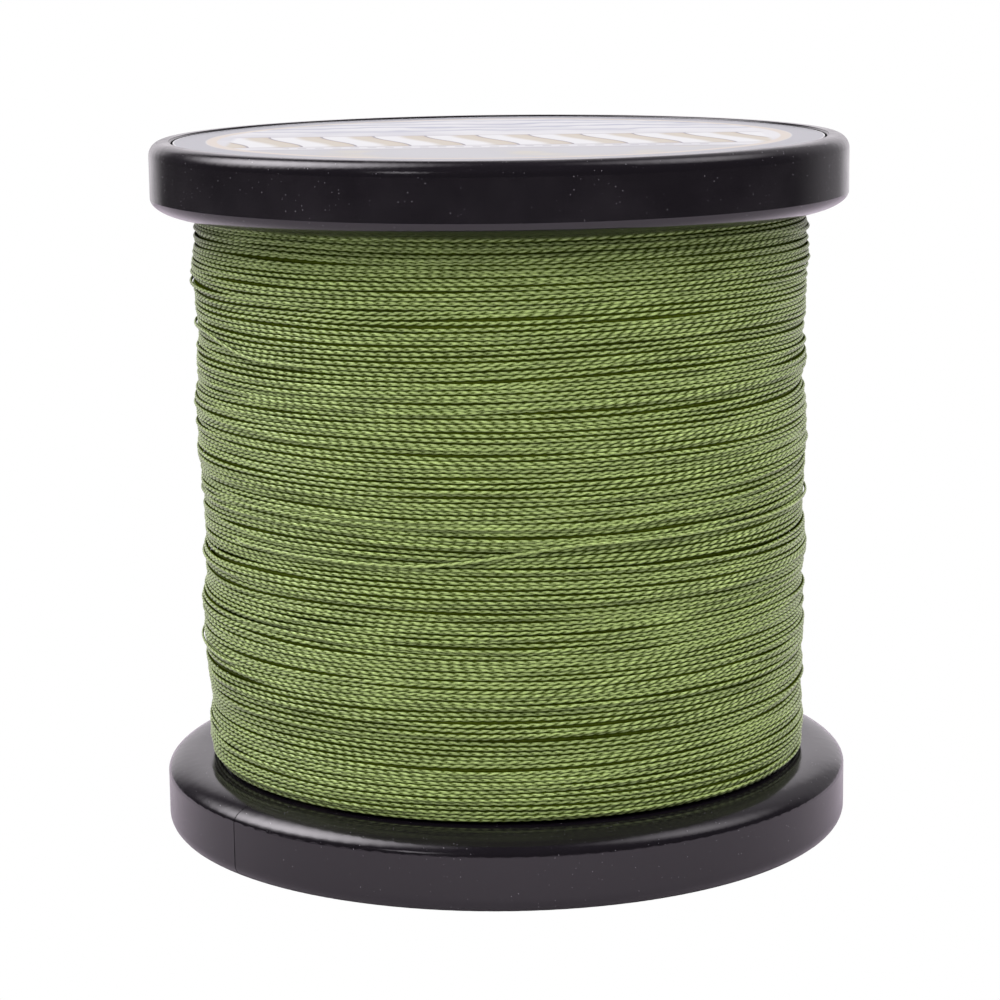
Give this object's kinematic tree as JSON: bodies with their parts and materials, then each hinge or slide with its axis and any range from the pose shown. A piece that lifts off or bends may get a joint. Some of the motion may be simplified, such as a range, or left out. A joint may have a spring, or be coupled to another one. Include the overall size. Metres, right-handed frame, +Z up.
{
  "type": "fishing line spool",
  "caption": "Flanged cylindrical spool wound full of braided line, with rounded rims, a central spindle bore and printed discs on press-in end caps.",
  "frame": {"origin": "centre of the ring that the lower flange stands on, at table height", "axes": "+Z up along the spool's axis, from the lower flange to the upper one; +Y is towards the back, where the line's free end is taped"},
  "size_m": [0.1, 0.1, 0.1],
  "materials": {
    "spool_black": "glossy injection-moulded black plastic",
    "cap_black": "glossy injection-moulded black plastic",
    "label_print": "laminated printed paper",
    "braided_line": "moss-green waxed braid",
    "paper_tape": "creped paper tape"
  },
  "bodies": {
    "spool": {"lower_flange": "spool_black", "upper_flange": "spool_black", "barrel": "spool_black", "wound_line": "braided_line", "start_tape": "paper_tape", "end_tape": "paper_tape"},
    "lower_cover": {"lower_end_cap": "cap_black", "lower_label": "label_print"},
    "upper_cover": {"upper_end_cap": "cap_black", "upper_label": "label_print"}
  },
  "joints": [
    {"name": "upper_cover_pull", "type": "slide", "parent": "spool", "child": "upper_cover", "axis": [0, 0, 1], "range_m": [0, 0.03]},
    {"name": "lower_cover_pull", "type": "slide", "parent": "spool", "child": "lower_cover", "axis": [0, 0, -1], "range_m": [0, 0.03]}
  ]
}
